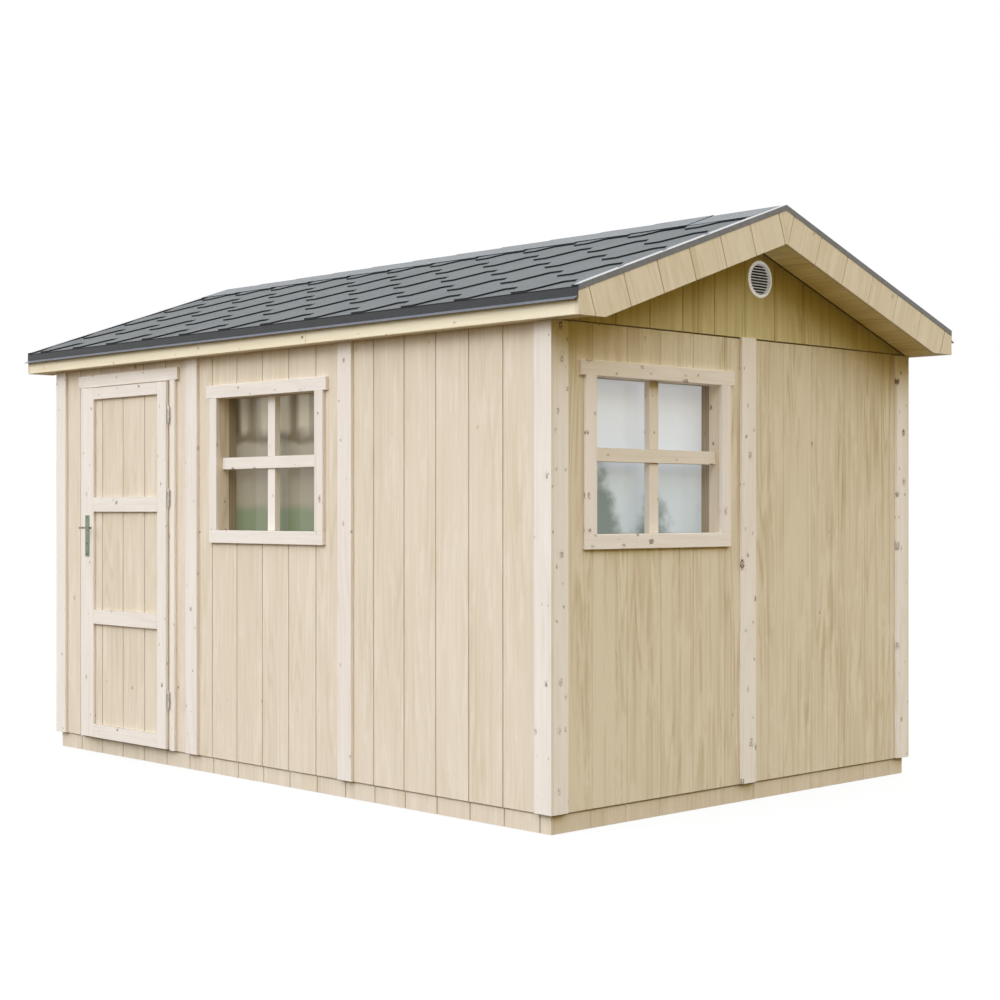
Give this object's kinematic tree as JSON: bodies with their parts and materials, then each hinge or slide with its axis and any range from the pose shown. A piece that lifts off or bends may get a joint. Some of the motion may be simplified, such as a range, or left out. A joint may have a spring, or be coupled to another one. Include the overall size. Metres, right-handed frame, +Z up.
{
  "type": "wooden garden shed",
  "caption": "Boarded timber garden shed with a shingled gable roof, a hinged boarded door with a lever handle, fixed windows in board casings and round gable vents.",
  "frame": {"origin": "on the ground under the middle of the base", "axes": "+Z up, X along the ridge with the windowed gable at +X, the door wall facing -Y"},
  "size_m": [4.175, 2.562, 2.5575],
  "materials": {
    "siding": "grooved board siding, stained pale tan",
    "trim": "knotty softwood boards, whitewashed",
    "bare_timber": "sawn softwood",
    "pane": "clear",
    "dark_steel": "dark satin",
    "shingles": "mineral-coated asphalt shingles",
    "edge_metal": "folded sheet, painted dark grey",
    "vent": "moulded white"
  },
  "bodies": {
    "shed": {"floor_bearers": "bare_timber", "floor_deck": "bare_timber", "base_skirts": "siding", "front_wall_left": "siding", "front_wall_over_door": "siding", "front_wall_right": "siding", "door_threshold": "siding", "rear_wall": "siding", "left_wall": "siding", "right_wall": "siding", "gable_tops": "siding", "wall_plates": "bare_timber", "wall_studs": "bare_timber", "front_trim": "trim", "rear_trim": "trim", "left_trim": "trim", "right_trim": "trim", "window_heads": "trim", "window_sides": "trim", "window_sills": "trim", "window_liners": "trim", "window_frames": "bare_timber", "window_panes": "pane", "door_jambs": "trim", "door_casings": "trim", "door_head_board": "trim", "hinge_pins": "dark_steel", "ridge_beam": "bare_timber", "rafters": "bare_timber", "roof_deck": "bare_timber", "eave_fascias": "trim", "barge_boards": "siding", "gable_soffits": "siding", "eave_soffits": "siding", "roof_shingles": "shingles", "ridge_cap": "shingles", "eave_drip_edges": "edge_metal", "rake_trims": "edge_metal", "gable_vents": "vent"},
    "door": {"door_panel": "siding", "door_stiles": "trim", "door_rails": "trim", "hinge_barrels": "dark_steel", "lock_plates": "dark_steel"},
    "lever": {"door_lever": "dark_steel"}
  },
  "joints": [
    {"name": "door_hinge", "type": "hinge", "parent": "shed", "child": "door", "pos_m": [-0.779, -1.213, 1], "axis": [0, 0, 1], "range_deg": [0, 110]},
    {"name": "lever_turn", "type": "hinge", "parent": "door", "child": "lever", "pos_m": [-1.5305, -1.2, 1.167], "axis": [0, 1, 0], "range_deg": [0, 40], "stiffness_Nm_per_rad": 2, "springref_deg": -17.19}
  ]
}
